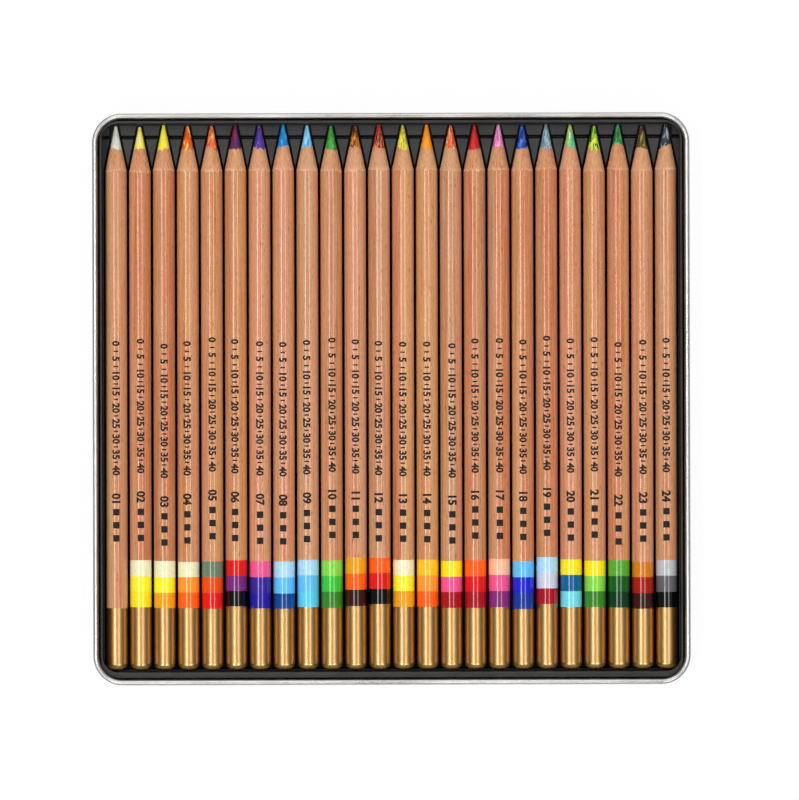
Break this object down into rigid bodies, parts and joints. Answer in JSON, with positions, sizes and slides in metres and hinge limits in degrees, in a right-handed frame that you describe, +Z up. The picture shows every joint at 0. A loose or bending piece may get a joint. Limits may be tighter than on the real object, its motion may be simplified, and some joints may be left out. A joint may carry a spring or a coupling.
{
  "type": "colored pencil box",
  "caption": "Flat round-cornered pencil tin, open, with a black molded tray holding a row of sharpened round colored pencils and its slip-on lid kept under the base.",
  "frame": {"origin": "middle of the underside, on the surface the tin stands on", "axes": "+X along the row of pencils, from the first to the last; +Y the way the points face; +Z up"},
  "size_m": [0.1924, 0.1842, 0.0132],
  "materials": {
    "tinplate": "bright tinplate",
    "black_plastic": "thermoformed sheet, satin",
    "cedar": "clear gloss lacquer",
    "core_white": "waxy colored lead",
    "core_lemon": "waxy colored lead",
    "core_yellow": "waxy colored lead",
    "core_orange": "waxy colored lead",
    "core_vermilion": "waxy colored lead",
    "core_plum": "waxy colored lead",
    "core_indigo": "waxy colored lead",
    "core_sky_blue": "waxy colored lead",
    "core_light_blue": "waxy colored lead",
    "core_green": "waxy colored lead",
    "core_brown_orange": "waxy colored lead",
    "core_brick": "waxy colored lead",
    "core_pale_yellow": "waxy colored lead",
    "core_golden_orange": "waxy colored lead",
    "core_coral": "waxy colored lead",
    "core_red": "waxy colored lead",
    "core_pink": "waxy colored lead",
    "core_cobalt": "waxy colored lead",
    "core_slate": "waxy colored lead",
    "core_aqua": "waxy colored lead",
    "core_lime": "waxy colored lead",
    "core_dark_green": "waxy colored lead",
    "core_umber": "waxy colored lead",
    "core_graphite": "waxy colored lead"
  },
  "bodies": {
    "lid": {"lid": "tinplate"},
    "tin_base": {"tin_base": "tinplate"},
    "tray": {"tray": "black_plastic"},
    "pencil_01": {"pencil_01_barrel": "cedar", "pencil_01_core": "core_white"},
    "pencil_02": {"pencil_02_barrel": "cedar", "pencil_02_core": "core_lemon"},
    "pencil_03": {"pencil_03_barrel": "cedar", "pencil_03_core": "core_yellow"},
    "pencil_04": {"pencil_04_barrel": "cedar", "pencil_04_core": "core_orange"},
    "pencil_05": {"pencil_05_barrel": "cedar", "pencil_05_core": "core_vermilion"},
    "pencil_06": {"pencil_06_barrel": "cedar", "pencil_06_core": "core_plum"},
    "pencil_07": {"pencil_07_barrel": "cedar", "pencil_07_core": "core_indigo"},
    "pencil_08": {"pencil_08_barrel": "cedar", "pencil_08_core": "core_sky_blue"},
    "pencil_09": {"pencil_09_barrel": "cedar", "pencil_09_core": "core_light_blue"},
    "pencil_10": {"pencil_10_barrel": "cedar", "pencil_10_core": "core_green"},
    "pencil_11": {"pencil_11_barrel": "cedar", "pencil_11_core": "core_brown_orange"},
    "pencil_12": {"pencil_12_barrel": "cedar", "pencil_12_core": "core_brick"},
    "pencil_13": {"pencil_13_barrel": "cedar", "pencil_13_core": "core_pale_yellow"},
    "pencil_14": {"pencil_14_barrel": "cedar", "pencil_14_core": "core_golden_orange"},
    "pencil_15": {"pencil_15_barrel": "cedar", "pencil_15_core": "core_coral"},
    "pencil_16": {"pencil_16_barrel": "cedar", "pencil_16_core": "core_red"},
    "pencil_17": {"pencil_17_barrel": "cedar", "pencil_17_core": "core_pink"},
    "pencil_18": {"pencil_18_barrel": "cedar", "pencil_18_core": "core_cobalt"},
    "pencil_19": {"pencil_19_barrel": "cedar", "pencil_19_core": "core_slate"},
    "pencil_20": {"pencil_20_barrel": "cedar", "pencil_20_core": "core_aqua"},
    "pencil_21": {"pencil_21_barrel": "cedar", "pencil_21_core": "core_lime"},
    "pencil_22": {"pencil_22_barrel": "cedar", "pencil_22_core": "core_dark_green"},
    "pencil_23": {"pencil_23_barrel": "cedar", "pencil_23_core": "core_umber"},
    "pencil_24": {"pencil_24_barrel": "cedar", "pencil_24_core": "core_graphite"}
  },
  "joints": [
    {"name": "base_lift", "type": "slide", "parent": "lid", "child": "tin_base", "axis": [0, 0, 1], "range_m": [0, 0.03]},
    {"name": "tray_lift", "type": "slide", "parent": "tin_base", "child": "tray", "axis": [0, 0, 1], "range_m": [0, 0.03]},
    {"name": "pencil_01_lift", "type": "slide", "parent": "tray", "child": "pencil_01", "axis": [0, 0, 1], "range_m": [0, 0.025]},
    {"name": "pencil_02_lift", "type": "slide", "parent": "tray", "child": "pencil_02", "axis": [0, 0, 1], "range_m": [0, 0.025]},
    {"name": "pencil_03_lift", "type": "slide", "parent": "tray", "child": "pencil_03", "axis": [0, 0, 1], "range_m": [0, 0.025]},
    {"name": "pencil_04_lift", "type": "slide", "parent": "tray", "child": "pencil_04", "axis": [0, 0, 1], "range_m": [0, 0.025]},
    {"name": "pencil_05_lift", "type": "slide", "parent": "tray", "child": "pencil_05", "axis": [0, 0, 1], "range_m": [0, 0.025]},
    {"name": "pencil_06_lift", "type": "slide", "parent": "tray", "child": "pencil_06", "axis": [0, 0, 1], "range_m": [0, 0.025]},
    {"name": "pencil_07_lift", "type": "slide", "parent": "tray", "child": "pencil_07", "axis": [0, 0, 1], "range_m": [0, 0.025]},
    {"name": "pencil_08_lift", "type": "slide", "parent": "tray", "child": "pencil_08", "axis": [0, 0, 1], "range_m": [0, 0.025]},
    {"name": "pencil_09_lift", "type": "slide", "parent": "tray", "child": "pencil_09", "axis": [0, 0, 1], "range_m": [0, 0.025]},
    {"name": "pencil_10_lift", "type": "slide", "parent": "tray", "child": "pencil_10", "axis": [0, 0, 1], "range_m": [0, 0.025]},
    {"name": "pencil_11_lift", "type": "slide", "parent": "tray", "child": "pencil_11", "axis": [0, 0, 1], "range_m": [0, 0.025]},
    {"name": "pencil_12_lift", "type": "slide", "parent": "tray", "child": "pencil_12", "axis": [0, 0, 1], "range_m": [0, 0.025]},
    {"name": "pencil_13_lift", "type": "slide", "parent": "tray", "child": "pencil_13", "axis": [0, 0, 1], "range_m": [0, 0.025]},
    {"name": "pencil_14_lift", "type": "slide", "parent": "tray", "child": "pencil_14", "axis": [0, 0, 1], "range_m": [0, 0.025]},
    {"name": "pencil_15_lift", "type": "slide", "parent": "tray", "child": "pencil_15", "axis": [0, 0, 1], "range_m": [0, 0.025]},
    {"name": "pencil_16_lift", "type": "slide", "parent": "tray", "child": "pencil_16", "axis": [0, 0, 1], "range_m": [0, 0.025]},
    {"name": "pencil_17_lift", "type": "slide", "parent": "tray", "child": "pencil_17", "axis": [0, 0, 1], "range_m": [0, 0.025]},
    {"name": "pencil_18_lift", "type": "slide", "parent": "tray", "child": "pencil_18", "axis": [0, 0, 1], "range_m": [0, 0.025]},
    {"name": "pencil_19_lift", "type": "slide", "parent": "tray", "child": "pencil_19", "axis": [0, 0, 1], "range_m": [0, 0.025]},
    {"name": "pencil_20_lift", "type": "slide", "parent": "tray", "child": "pencil_20", "axis": [0, 0, 1], "range_m": [0, 0.025]},
    {"name": "pencil_21_lift", "type": "slide", "parent": "tray", "child": "pencil_21", "axis": [0, 0, 1], "range_m": [0, 0.025]},
    {"name": "pencil_22_lift", "type": "slide", "parent": "tray", "child": "pencil_22", "axis": [0, 0, 1], "range_m": [0, 0.025]},
    {"name": "pencil_23_lift", "type": "slide", "parent": "tray", "child": "pencil_23", "axis": [0, 0, 1], "range_m": [0, 0.025]},
    {"name": "pencil_24_lift", "type": "slide", "parent": "tray", "child": "pencil_24", "axis": [0, 0, 1], "range_m": [0, 0.025]}
  ]
}
